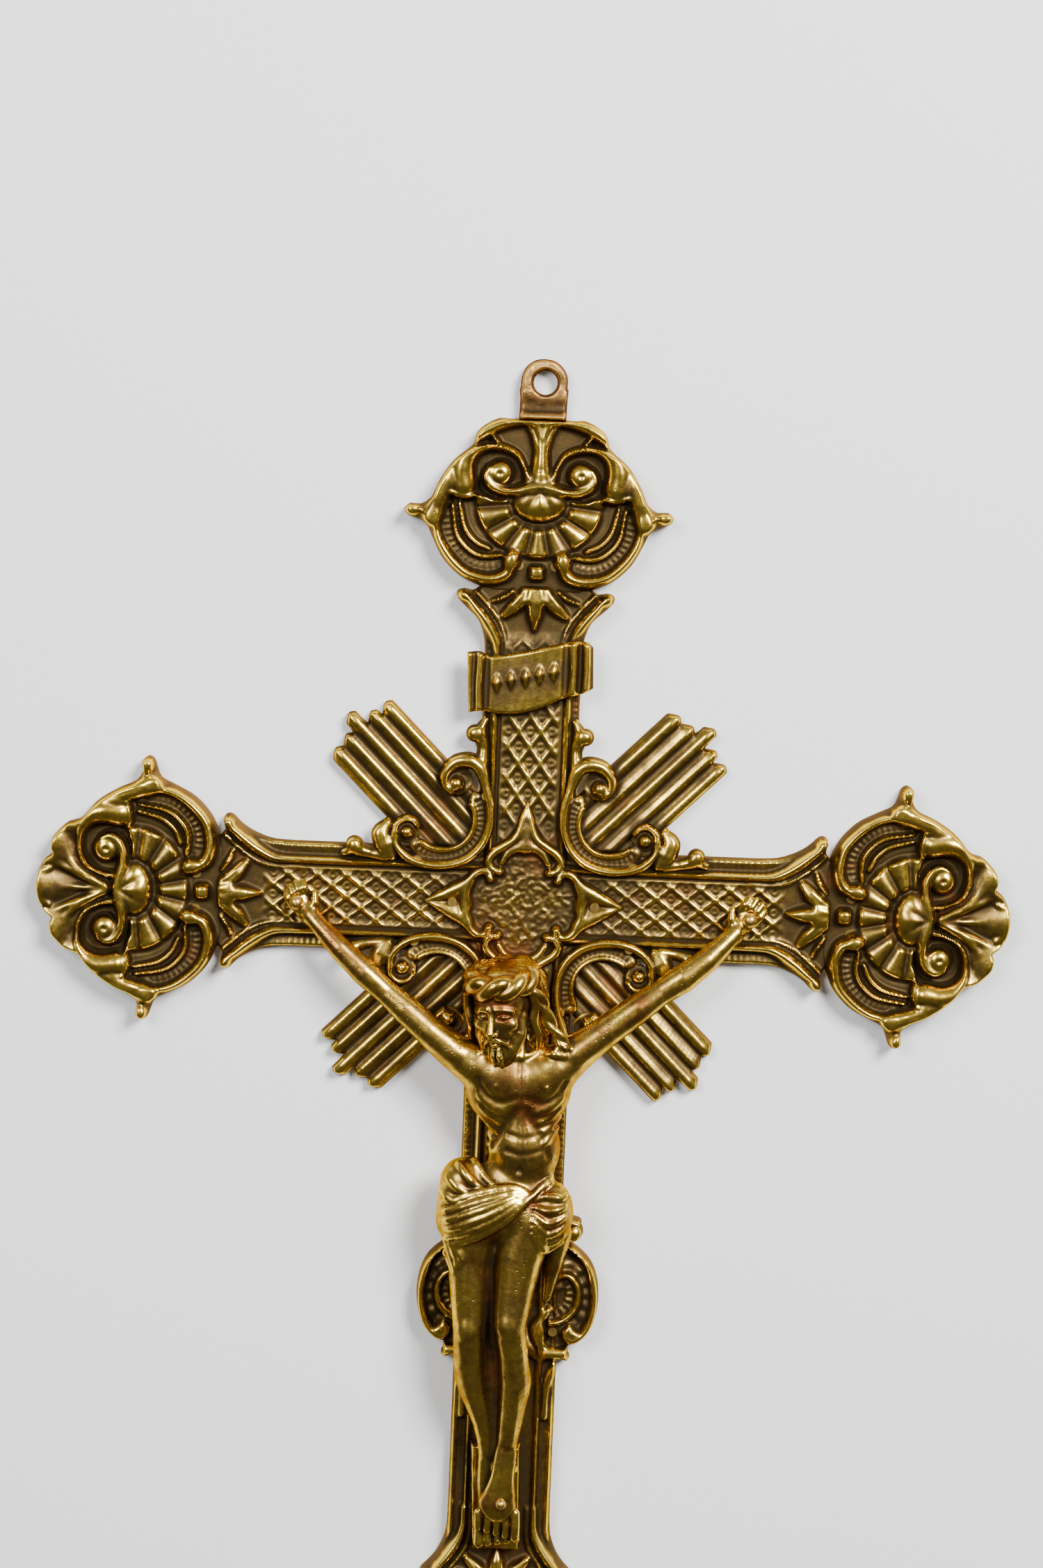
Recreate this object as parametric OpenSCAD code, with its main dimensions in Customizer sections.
// Hanging altar cross in cast brass: a moulded cross with four shell terminals, a sunburst
// behind the crossing, scrolls in its corners, a title ribbon and a crucified figure.
//
// Every piece is drawn lying on its back, as it would on a bench: x runs to the right, y runs
// up the cross from the middle of the crossing, and z is the height above the flat back.
// upright() then stands the whole cross up, with its front towards -Y and the origin at the
// back of the hanging hole. Left and right are as seen from the front.

/* [Cross] */
// Distance from the crossing to the joint of each side terminal
arm_reach = 60; // [58:1:64]
// Distance from the crossing to the joint of the top terminal
top_reach = 62; // [60:1:66]
// Distance from the crossing to the joint of the bottom terminal
shaft_reach = 139; // [137:1:150]
// Half of the arm's width
arm_half_w = 10.5; // [10.2:0.1:11]
// Half of the shaft's width above the crossing
top_half_w = 9.5; // [9.2:0.1:10.5]
// Thickness of the cross's plate
plate_t = 3; // [2.8:0.1:3.2]
// Height of the mouldings' tops above the back
moulding_z = 4.4; // [4.2:0.1:4.6]

/* [Hanging eye] */
// Height of the hanging hole above the crossing
hole_rise = 102; // [101:0.5:104]
// Radius of the hanging hole
hole_r = 2.25; // [1.8:0.05:2.5]
// Half of the tab's width
tab_half_w = 4.6; // [4.2:0.1:5]

/* [Sunburst] */
// Width of each bunch of rays
bunch_w = 16.6; // [14:0.1:17]
// Distance from the crossing to the longest ray's tip
ray_reach = 50; // [46:1:52]
// Number of rays in a bunch
ray_count = 5; // [4:1:7]

/* [Rivets] */
// Radius of a rivet's shank
rivet_r = 0.9; // [0.8:0.05:1]
// Room round a shank in its hole
rivet_gap = 0.02; // [0.01:0.01:0.03]
// Radius of the round head of a hand's nail
hand_head_r = 1.5; // [1.3:0.1:1.7]
// Radius of the round head of the foot's nail
foot_head_r = 1.1; // [1:0.1:1.7]

/* [Hidden] */
$fn = 48;

half_t = plate_t / 2;          // thickness of each layer of a lap joint
lap_len = 9;                   // length of a terminal's lap joint
lap_half_w = 6;
lap_gap = 0.05;                // room round a tongue in its pocket
scroll_z = 5.4;                // height of the scrolls' ridges
shelf_z = 4.6;                 // height of the scrolls' ground
csk_depth = 0.7;               // depth of a rivet's countersunk back head
csk_r = 1.6;
rivet_blind = 0.6;             // metal left in front of a hidden rivet
ground_z = plate_t - 0.5;      // relief starts this far up, inside the plate that carries it
shaft_half_w = 10.3;

// The four ends: [angle, reach, plain half-width of the bar there]
END_RIGHT = [0, arm_reach, arm_half_w];
END_TOP = [90, top_reach, top_half_w];
END_LEFT = [180, arm_reach, arm_half_w];
END_BOTTOM = [270, shaft_reach, shaft_half_w];
ENDS = [END_RIGHT, END_TOP, END_LEFT, END_BOTTOM];

// The scroll in the upper right corner, and the sides of the shaft's own scrolls
scroll_c = [16.5, 16.5];
scroll_r_in = 6.8;
scroll_r_out = 10.4;
shaft_scroll_y = -79.5;
shaft_scroll_half_h = 10.5;

// Fixing points on the bench plan
TERMINAL_RIVETS = [[4.5, 3.5], [4.5, -3.5]];
GLORY_RIVETS = [for (sx = [-1, 1], sy = [-1, 1]) [8 * sx, 8 * sy]];
SCROLL_RIVETS = [[21.2, 8.1], [8.1, 21.2]];
SHAFT_SCROLL_RIVETS = [[9.3, -73], [9.3, -86]];
TITULUS_PINS = [[-4, 44], [4, 44.5]];
ROSETTE_PINS = [[-14, 0], [14, 0]];
EYE_RIVET = [0, 89];
HAND_PIN_LEFT = [-44.5, -1];
HAND_PIN_RIGHT = [44.5, -1];
FOOT_PIN = [0.3, -119];
FOOT_REST_PIN = [0, -126];

// ---------------------------------------------------------------- helpers

// Stands a piece drawn on the bench up into the cross's own frame.
module upright() {
    rotate([90, 0, 0]) translate([0, -hole_rise, 0]) children();
}

// Gives a flat outline its thickness, from z0 to z1 above the back.
module layer(z0, z1) {
    translate([0, 0, z0]) linear_extrude(z1 - z0) children();
}

// Moves to an end of the cross, with x pointing outwards along its bar.
module at_end(end) {
    rotate(end[0]) translate([end[1], 0]) children();
}

// Draws the children and their mirror image across the local x axis.
module both_sides() {
    children();
    mirror([0, 1, 0]) children();
}

// Flat-topped ring sector, as an arc-shaped moulding.
module arc_bar(c, r_in, r_out, from, to, z0, z1) {
    translate([c[0], c[1], z0]) rotate(from)
        rotate_extrude(angle = to - from) translate([r_in, 0]) square([r_out - r_in, z1 - z0]);
}

// Countersunk rivet standing on the back, or its hole when gap is given.
module rivet(p, z_top, gap = 0) {
    translate([p[0], p[1], 0]) {
        cylinder(r = rivet_r + gap, h = z_top + gap);
        cylinder(r1 = csk_r + gap, r2 = rivet_r + gap, h = csk_depth);
    }
}

module rivets(points, z_top, gap = 0) {
    for (p = points) rivet(p, z_top, gap);
}

// Round-headed nail that comes in from the front and ends flush with the back.
module nail(p, z_head, head_r) {
    translate([p[0], p[1], 0]) {
        cylinder(r = rivet_r, h = z_head);
        translate([0, 0, z_head]) intersection() {
            sphere(head_r);
            translate([0, 0, 2]) cube([4, 4, 4], center = true);
        }
    }
}

module nail_hole(p) {
    translate([p[0], p[1], -1]) cylinder(r = rivet_r + rivet_gap, h = 30);
}

// Draws a corner piece of the upper right in one of the four corners.
module in_corner(sx, sy) {
    mirror([sx < 0 ? 1 : 0, 0, 0]) mirror([0, sy < 0 ? 1 : 0, 0]) children();
}

// ---------------------------------------------------------------- cross body

module neck_outline(end) {
    flare = end[2];
    polygon([[-12, -flare], [-5, -flare - 1.6], [-2, -14.4], [-0.6, -12.6], [0, -9.5],
             [0, 9.5], [-0.6, 12.6], [-2, 14.4], [-5, flare + 1.6], [-12, flare]]);
}

module collar_outline() {
    translate([-12.5, -92]) square([25, 3]);
}

module body_outline() {
    translate([-arm_reach + 1, -arm_half_w]) square([2 * arm_reach - 2, 2 * arm_half_w]);
    translate([-top_half_w, 0]) square([2 * top_half_w, top_reach - 1]);
    translate([-shaft_half_w, -shaft_reach + 1]) square([2 * shaft_half_w, shaft_reach]);
    collar_outline();
    for (end = ENDS) at_end(end) neck_outline(end);
}

module tongue_outline(gap = 0) {
    translate([-1, -lap_half_w - gap]) square([lap_len + 1 + gap, 2 * (lap_half_w + gap)]);
}

// A pair of straight mouldings along +x, one each side of the field.
module moulding_pair(from, to, r_in, r_out) {
    both_sides() translate([from, r_in, ground_z])
        cube([to - from, r_out - r_in, moulding_z - ground_z]);
}

module mouldings() {
    for (end = [END_RIGHT, END_LEFT]) rotate(end[0]) {
        moulding_pair(13, arm_reach - 4, 5.2, 6);
        moulding_pair(27, arm_reach - 8, 6.8, 7.8);
    }
    rotate(90) moulding_pair(14, top_reach - 4, 5.2, 6);
    rotate(90) moulding_pair(27, top_reach - 8, 6.8, 7.8);
    rotate(270) moulding_pair(14, 64, 5.2, 6);
    rotate(270) moulding_pair(27, 64, 6.8, 7.8);
    rotate(270) moulding_pair(94, shaft_reach - 4, 6.2, 7);
    rotate(270) moulding_pair(94, shaft_reach - 6, 7.8, 9);
}

// Three-lobed leaf that covers the root of a terminal.
module neck_leaf() {
    layer(ground_z, shelf_z)
        polygon([[0, -4], [-3, -5.5], [-5, -3.4], [-9.5, 0], [-5, 3.4], [-3, 5.5], [0, 4]]);
}

module body_holes() {
    for (end = ENDS) at_end(end) rivets(TERMINAL_RIVETS, half_t, rivet_gap);
    rivets(GLORY_RIVETS, plate_t - rivet_blind, rivet_gap);
    for (sx = [-1, 1], sy = [-1, 1]) in_corner(sx, sy) rivets(SCROLL_RIVETS, plate_t, rivet_gap);
    for (sx = [-1, 1]) in_corner(sx, 1) rivets(SHAFT_SCROLL_RIVETS, plate_t, rivet_gap);
    rivets(TITULUS_PINS, plate_t, rivet_gap);
    rivets(ROSETTE_PINS, plate_t, rivet_gap);
    rivet(FOOT_REST_PIN, plate_t, rivet_gap);
    for (p = [HAND_PIN_LEFT, HAND_PIN_RIGHT, FOOT_PIN]) nail_hole(p);
}

module cross_body() {
    color("goldenrod") upright() difference() {
        union() {
            layer(0, plate_t) body_outline();
            for (end = ENDS) at_end(end) {
                layer(0, half_t) tongue_outline();
                neck_leaf();
            }
            layer(ground_z, moulding_z) collar_outline();
            mouldings();
        }
        layer(-1, half_t) glory_cross(bunch_w + 2 * lap_gap, 2 * ray_reach);
        body_holes();
    }
}

// ---------------------------------------------------------------- terminals

module terminal_outline(crest) {
    translate([15, 0]) circle(15.6);
    translate([11, 0]) both_sides() translate([0, 10]) circle(10.2);
    both_sides() translate([27.5, 7.4]) circle(5.2);
    translate([25.5, 0]) circle(7.5);
    if (crest) translate([30, 0]) circle(6);
    both_sides() {
        polygon([[9, 19], [14, 24], [15, 24], [20, 16]]);
        translate([14.5, 24]) circle(1.8);
    }
}

// Relief of one half of a terminal: the ring, the volute and its spiral.
module terminal_scrolls() {
    arc_bar([11, 10], 7.8, 9.8, 95, 230, ground_z, scroll_z);
    arc_bar([11, 10], 4.6, 5.6, 100, 220, ground_z, shelf_z);
    arc_bar([22.2, 7.2], 4.2, 5.8, -60, 215, ground_z, scroll_z);
    translate([22.2, 7.2, ground_z]) cylinder(r = 2.2, h = scroll_z - ground_z);
    translate([28, 7.6, ground_z]) cylinder(r = 3.4, h = shelf_z - ground_z);
    translate([14.3, 21, ground_z]) cylinder(r = 2, h = shelf_z - ground_z);
    translate([14.5, 24, ground_z]) cylinder(r = 1.5, h = shelf_z - ground_z);
}

module terminal_shell() {
    translate([16, 0, 0]) intersection() {
        sphere(r = 5.8);
        layer(ground_z, 7) translate([-7, -6]) square([10, 12]);
    }
    for (a = [110 : 20 : 250]) translate([16, 0, 0]) rotate(a) layer(ground_z, shelf_z - 0.4)
        polygon([[5, -0.5], [9.5, -1.2], [9.5, 1.2], [5, 0.5]]);
    layer(ground_z, scroll_z) translate([18.4, -7]) square([1.8, 14]);
    translate([3.2, 0, ground_z]) cylinder(r = 1.8, h = scroll_z - ground_z);
}

module terminal_form(crest) {
    difference() {
        union() {
            layer(0, plate_t) difference() {
                terminal_outline(crest);
                translate([-40, -30]) square([40, 60]);
            }
            both_sides() terminal_scrolls();
            terminal_shell();
            if (crest) translate([30.5, 0, ground_z]) cylinder(r = 4.4, h = shelf_z - ground_z);
        }
        layer(-1, half_t) tongue_outline(lap_gap);
        rivets(TERMINAL_RIVETS, plate_t, rivet_gap);
    }
}

module terminal_right() {
    color("darkgoldenrod") upright() at_end(END_RIGHT) terminal_form(true);
}

module terminal_left() {
    color("darkgoldenrod") upright() at_end(END_LEFT) terminal_form(true);
}

module terminal_bottom() {
    color("darkgoldenrod") upright() at_end(END_BOTTOM) terminal_form(true);
}

module terminal_top() {
    color("darkgoldenrod") upright() difference() {
        at_end(END_TOP) terminal_form(false);
        layer(-1, half_t) eye_tongue_outline(lap_gap);
        rivet(EYE_RIVET, plate_t, rivet_gap);
    }
}

// ---------------------------------------------------------------- hanging eye

tab_foot = 94.6;
eye_tongue_len = 9;

module eye_tongue_outline(gap = 0) {
    w = 2 * (tab_half_w - 0.6 + gap);
    translate([-w / 2, tab_foot - eye_tongue_len - gap]) square([w, eye_tongue_len + gap + 0.5]);
}

module hanging_eye() {
    color("peru") upright() difference() {
        union() {
            layer(0, plate_t) {
                translate([-tab_half_w, tab_foot]) square([2 * tab_half_w, hole_rise - tab_foot]);
                translate([0, hole_rise]) circle(tab_half_w);
            }
            layer(0, half_t) eye_tongue_outline();
            layer(ground_z, moulding_z) translate([-tab_half_w, tab_foot])
                square([2 * tab_half_w, 1.4]);
        }
        translate([0, hole_rise, -1]) cylinder(r = hole_r, h = plate_t + 2);
        rivet(EYE_RIVET, plate_t, rivet_gap);
    }
}

// ---------------------------------------------------------------- sunburst

// Plan of the plate behind the crossing: two bars crossed on the diagonals.
module glory_cross(w, len) {
    for (a = [45, 135]) rotate(a) square([len, w], center = true);
}

function ray_pitch() = bunch_w / ray_count;
function ray_offset(i) = (i - (ray_count - 1) / 2) * ray_pitch();
// Tips step back from the middle of the bunch, and every other ray is a little shorter.
function ray_tip(i) = ray_reach - abs(ray_offset(i)) - (i % 2 == 0 ? 1.6 : 0);

// One ray along +x: a flat strip with a pointed tip and a ridge on top.
module ray(i) {
    half = ray_pitch() / 2;
    point = 2;
    layer(0, plate_t - 0.8) translate([0, ray_offset(i)])
        polygon([[0, -half], [ray_tip(i) - point, -half], [ray_tip(i), 0],
                 [ray_tip(i) - point, half], [0, half]]);
    translate([12, ray_offset(i), plate_t - 0.8]) rotate([90, 0, 90])
        linear_extrude(ray_tip(i) - point - 12)
            polygon([[-half + 0.25, 0], [-0.35, 0.8], [0.35, 0.8], [half - 0.25, 0]]);
}

module glory_rays() {
    color("gold") upright() difference() {
        for (a = [45 : 90 : 315]) rotate(a) for (i = [0 : ray_count - 1]) ray(i);
        layer(half_t, plate_t + 1) body_outline();
        rivets(GLORY_RIVETS, plate_t, rivet_gap);
    }
}

// ---------------------------------------------------------------- corner scrolls

// Crested ear where a scroll runs out along its bar.
module scroll_ear() {
    polygon([[22.5, 8.1], [25, 12.6], [27.3, 12.6], [31, 10.8], [34.4, 12.4], [36.6, 10.6], [35.6, 8.3]]);
}

module corner_scroll() {
    difference() {
        union() {
            arc_bar(scroll_c, scroll_r_in, scroll_r_out, 140, 335, plate_t, shelf_z);
            arc_bar(scroll_c, 8.8, 10.2, 140, 335, plate_t, scroll_z);
            layer(plate_t, shelf_z) {
                translate([13.4, 23.4]) circle(3.9);
                translate([23, 13.2]) circle(3.4);
                scroll_ear();
                mirror([1, -1, 0]) scroll_ear();
            }
            translate([14, 23, plate_t]) cylinder(r = 2, h = scroll_z - plate_t);
            translate([22.7, 13.2, plate_t]) cylinder(r = 1.8, h = scroll_z - plate_t);
        }
        rivets(SCROLL_RIVETS, shelf_z, rivet_gap);
    }
}

module corner_scroll_in(sx, sy) {
    color("khaki") upright() in_corner(sx, sy) corner_scroll();
}

module scroll_upper_left() {
    corner_scroll_in(-1, 1);
}

module scroll_upper_right() {
    corner_scroll_in(1, 1);
}

module scroll_lower_left() {
    corner_scroll_in(-1, -1);
}

module scroll_lower_right() {
    corner_scroll_in(1, -1);
}

// ---------------------------------------------------------------- shaft scrolls

// Half-oval outline of the right-hand scroll on the shaft.
module shaft_scroll_outline(inset) {
    intersection() {
        translate([4.5, shaft_scroll_y]) circle(13.6 - inset);
        translate([8, shaft_scroll_y - shaft_scroll_half_h + inset])
            square([12, 2 * (shaft_scroll_half_h - inset)]);
    }
}

module shaft_scroll() {
    difference() {
        union() {
            layer(0, plate_t + 0.6) shaft_scroll_outline(0);
            layer(plate_t, scroll_z) difference() {
                shaft_scroll_outline(0);
                shaft_scroll_outline(1.6);
            }
            translate([12.4, shaft_scroll_y - 8, plate_t]) cylinder(r = 1.8, h = scroll_z - plate_t);
            translate([12.6, -67.6, plate_t]) cylinder(r = 2, h = scroll_z - plate_t);
            arc_bar([9, shaft_scroll_y + 1], 4, 5, -70, 80, plate_t, shelf_z);
        }
        layer(-1, plate_t) body_outline();
        rivets(SHAFT_SCROLL_RIVETS, plate_t + 1.4, rivet_gap);
    }
}

module shaft_scroll_right() {
    color("khaki") upright() shaft_scroll();
}

module shaft_scroll_left() {
    color("khaki") upright() in_corner(-1, 1) shaft_scroll();
}

// ---------------------------------------------------------------- rosette

lobe_r = 5.6;                  // radius of each lobe of the rosette's window
lobe_out = 5.2;                // distance of each lobe's centre from the crossing
frame_w = 1.8;                 // width of the rosette's frame

module quatrefoil(r) {
    for (a = [0 : 90 : 270]) rotate(a) translate([lobe_out, 0]) circle(r);
}

module centre_rosette() {
    color("wheat") upright() difference() {
        layer(plate_t, scroll_z - 0.2) {
            quatrefoil(lobe_r + frame_w);
            for (a = [0, 180]) rotate(a)
                polygon([[9, -5], [12, -4], [15, -2.6], [19.5, 0], [15, 2.6], [12, 4], [9, 5]]);
            for (a = [90, 270]) rotate(a)
                polygon([[9, -5], [12, -4.4], [15, -2], [20, 0], [15, 2], [12, 4.4], [9, 5]]);
        }
        layer(plate_t - 1, scroll_z + 1) quatrefoil(lobe_r);
        rivets(ROSETTE_PINS, shelf_z, rivet_gap);
    }
}

// ---------------------------------------------------------------- title ribbon

ribbon_t = 1.5;                // thickness of the ribbon

module ribbon_outline() {
    polygon([[-12.4, 49.5], [-8, 48.8], [0, 50.4], [8, 52.2], [11, 51.8],
             [11.4, 42.4], [6, 40.6], [0, 38.2], [-6, 37.6], [-11.6, 37.8]]);
}

module titulus() {
    color("palegoldenrod") upright() difference() {
        union() {
            layer(moulding_z, moulding_z + ribbon_t) ribbon_outline();
            layer(moulding_z, moulding_z + ribbon_t + 0.9) intersection() {
                ribbon_outline();
                for (x = [-12, 8.6]) translate([x, 36]) square([2.6, 18]);
            }
            for (p = TITULUS_PINS) translate([p[0], p[1], plate_t]) cylinder(r = 1.6, h = 2);
        }
        rivets(TITULUS_PINS, moulding_z + 0.8, rivet_gap);
    }
}

// ---------------------------------------------------------------- foot rest

foot_rest_top = -109;
foot_rest_low = -130;
foot_rest_half_w = 5;
foot_rest_front = 7.5;         // height of its lower edge above the back

// Wedge under the feet, with its sloping face forward.
module foot_rest_form() {
    translate([-foot_rest_half_w, 0, 0]) rotate([90, 0, 90]) linear_extrude(2 * foot_rest_half_w)
        polygon([[foot_rest_low, plate_t], [foot_rest_top, plate_t],
                 [foot_rest_top, plate_t + 0.6], [foot_rest_low + 1, foot_rest_front],
                 [foot_rest_low, foot_rest_front - 0.6]]);
}

module foot_rest() {
    color("tan") upright() difference() {
        foot_rest_form();
        rivet(FOOT_REST_PIN, plate_t + 2, rivet_gap);
        nail_hole(FOOT_PIN);
    }
}

// ---------------------------------------------------------------- corpus

figure_fn = 12;                // facets round each rounded mass of the figure

// Ellipsoid: p is its centre, r its half-sizes.
module mass(p, r) {
    translate(p) scale(r) sphere(1, $fn = figure_fn);
}

// Chain of tapering limb segments through stations [x, y, z, r].
module limb(stations) {
    for (i = [0 : len(stations) - 2]) hull() {
        for (s = [stations[i], stations[i + 1]])
            mass([s[0], s[1], s[2]], [s[3], s[3], s[3]]);
    }
}

ARM_LEFT = [[-43.5, -2, 5.6, 1.9], [-39.5, -6, 7.4, 2], [-33, -12.5, 8.8, 2.7],
            [-25, -19, 9.8, 2.5], [-17, -25.5, 10.6, 3], [-11.5, -29.5, 10.8, 3.8]];
ARM_RIGHT = [[43.5, -2, 5.6, 1.9], [38.5, -7, 7.4, 2.1], [33, -11.5, 8.6, 2.9],
             [26, -16.5, 9.6, 2.7], [18, -22, 10.4, 3], [10.5, -28, 10.8, 3.8]];
LEG_LEFT = [[-6.5, -61, 10.8, 5.6], [-7.6, -73, 13, 4.4], [-7.6, -85, 14.6, 3.6],
            [-7.2, -93, 13, 3.1], [-5.2, -103, 10.8, 2.2], [-3, -110.5, 9.2, 1.9]];
LEG_RIGHT = [[3.8, -61, 10.8, 5.6], [1.8, -73, 13.2, 4.5], [1.8, -86, 15, 3.6],
             [2.6, -95, 13.2, 3], [1.6, -105, 11, 2.3], [1, -111, 9.8, 2]];
FOOT_LEFT = [[-3, -111, 8.6, 2], [-2, -118, 8, 2.1], [-1.6, -124.5, 9.2, 1.9]];
FOOT_RIGHT = [[1, -112, 9.8, 2.2], [1.2, -120, 10.2, 2.4], [0.8, -127, 10, 2.2]];
CHEST = [0.4, -36, 11.2];
WAIST = [1.2, -47, 10.6];

module torso() {
    hull() {
        mass([-10.6, -30.5, 10.6], [3.6, 3.6, 3.8]);
        mass([9, -29.5, 10.6], [3.6, 3.6, 3.8]);
        mass(CHEST, [9.8, 6.5, 5.6]);
    }
    hull() {
        mass(CHEST, [9.6, 6.5, 5.6]);
        mass(WAIST, [7.6, 5, 4.6]);
    }
    hull() {
        mass(WAIST, [7.6, 5, 4.6]);
        mass([-1.8, -57.5, 11.2], [12, 6.5, 5.6]);
    }
}

module loincloth() {
    hull() {
        mass([-1.8, -56, 11.2], [12.2, 5.5, 5.8]);
        mass([-1.8, -62.5, 11.6], [12, 5, 5.4]);
    }
    mass([6.8, -59.5, 15.6], [4.6, 4.6, 3]);
    hull() {
        mass([-10.5, -62, 11.4], [2.8, 3, 3.6]);
        mass([-11, -69.5, 10.6], [1.6, 2, 2.6]);
    }
}

module head() {
    hull() {
        mass([-2.4, -30, 12], [3.4, 2, 3]);
        mass([-3.4, -24, 13.4], [3.6, 3, 3.2]);
    }
    mass([-4, -18.6, 14.4], [6.2, 8.2, 6.2]);
    hull() {
        mass([-3.2, -22, 17], [3.6, 4, 3.2]);
        mass([-2.8, -27, 18], [2.4, 2.4, 2]);
    }
    hull() {
        mass([2, -19, 12], [2.4, 4, 3]);
        mass([6, -27, 12.6], [2.2, 2.6, 2.4]);
    }
}

module hand(side) {
    hull() {
        mass([44.2 * side, -1.4, 4.6], [2.6, 3, 1.9]);
        mass([45.8 * side, 1.4, 4.2], [2.4, 2, 1.3]);
    }
}

module corpus() {
    color("gold") upright() difference() {
        union() {
            torso();
            loincloth();
            head();
            for (chain = [ARM_LEFT, ARM_RIGHT, LEG_LEFT, LEG_RIGHT, FOOT_LEFT, FOOT_RIGHT]) limb(chain);
            for (side = [-1, 1]) hand(side);
        }
        layer(-1, plate_t) translate([-60, -140]) square([120, 150]);
        foot_rest_form();
        for (p = [HAND_PIN_LEFT, HAND_PIN_RIGHT, FOOT_PIN]) {
            translate([p[0], p[1], -1]) cylinder(r = rivet_r + 0.08, h = 30, $fn = 16);
        }
    }
}

// ---------------------------------------------------------------- pins and rivets

hand_z = 6.6;                  // height of the hands' nail heads
foot_z = 12.8;                 // height of the foot's nail head

module hand_pin_left() {
    color("saddlebrown") upright() nail(HAND_PIN_LEFT, hand_z, hand_head_r);
}

module hand_pin_right() {
    color("saddlebrown") upright() nail(HAND_PIN_RIGHT, hand_z, hand_head_r);
}

module foot_pin() {
    color("saddlebrown") upright() nail(FOOT_PIN, foot_z, foot_head_r);
}

module terminal_rivets() {
    color("sienna") upright() for (end = ENDS) at_end(end) rivets(TERMINAL_RIVETS, plate_t);
}

module eye_rivet() {
    color("sienna") upright() rivet(EYE_RIVET, plate_t);
}

module glory_rivets() {
    color("sienna") upright() rivets(GLORY_RIVETS, plate_t - rivet_blind);
}

module scroll_rivets() {
    color("sienna") upright() {
        for (sx = [-1, 1], sy = [-1, 1]) in_corner(sx, sy) rivets(SCROLL_RIVETS, shelf_z);
        for (sx = [-1, 1]) in_corner(sx, 1) rivets(SHAFT_SCROLL_RIVETS, plate_t + 1.4);
    }
}

module titulus_pins() {
    color("sienna") upright() rivets(TITULUS_PINS, moulding_z + 0.8);
}

module rosette_pins() {
    color("sienna") upright() rivets(ROSETTE_PINS, shelf_z);
}

module foot_rest_pin() {
    color("sienna") upright() rivet(FOOT_REST_PIN, plate_t + 2);
}

cross_body();
terminal_top();
terminal_left();
terminal_right();
terminal_bottom();
hanging_eye();
glory_rays();
scroll_upper_left();
scroll_upper_right();
scroll_lower_left();
scroll_lower_right();
shaft_scroll_left();
shaft_scroll_right();
centre_rosette();
titulus();
corpus();
foot_rest();
hand_pin_left();
hand_pin_right();
foot_pin();
terminal_rivets();
eye_rivet();
glory_rivets();
scroll_rivets();
titulus_pins();
rosette_pins();
foot_rest_pin();
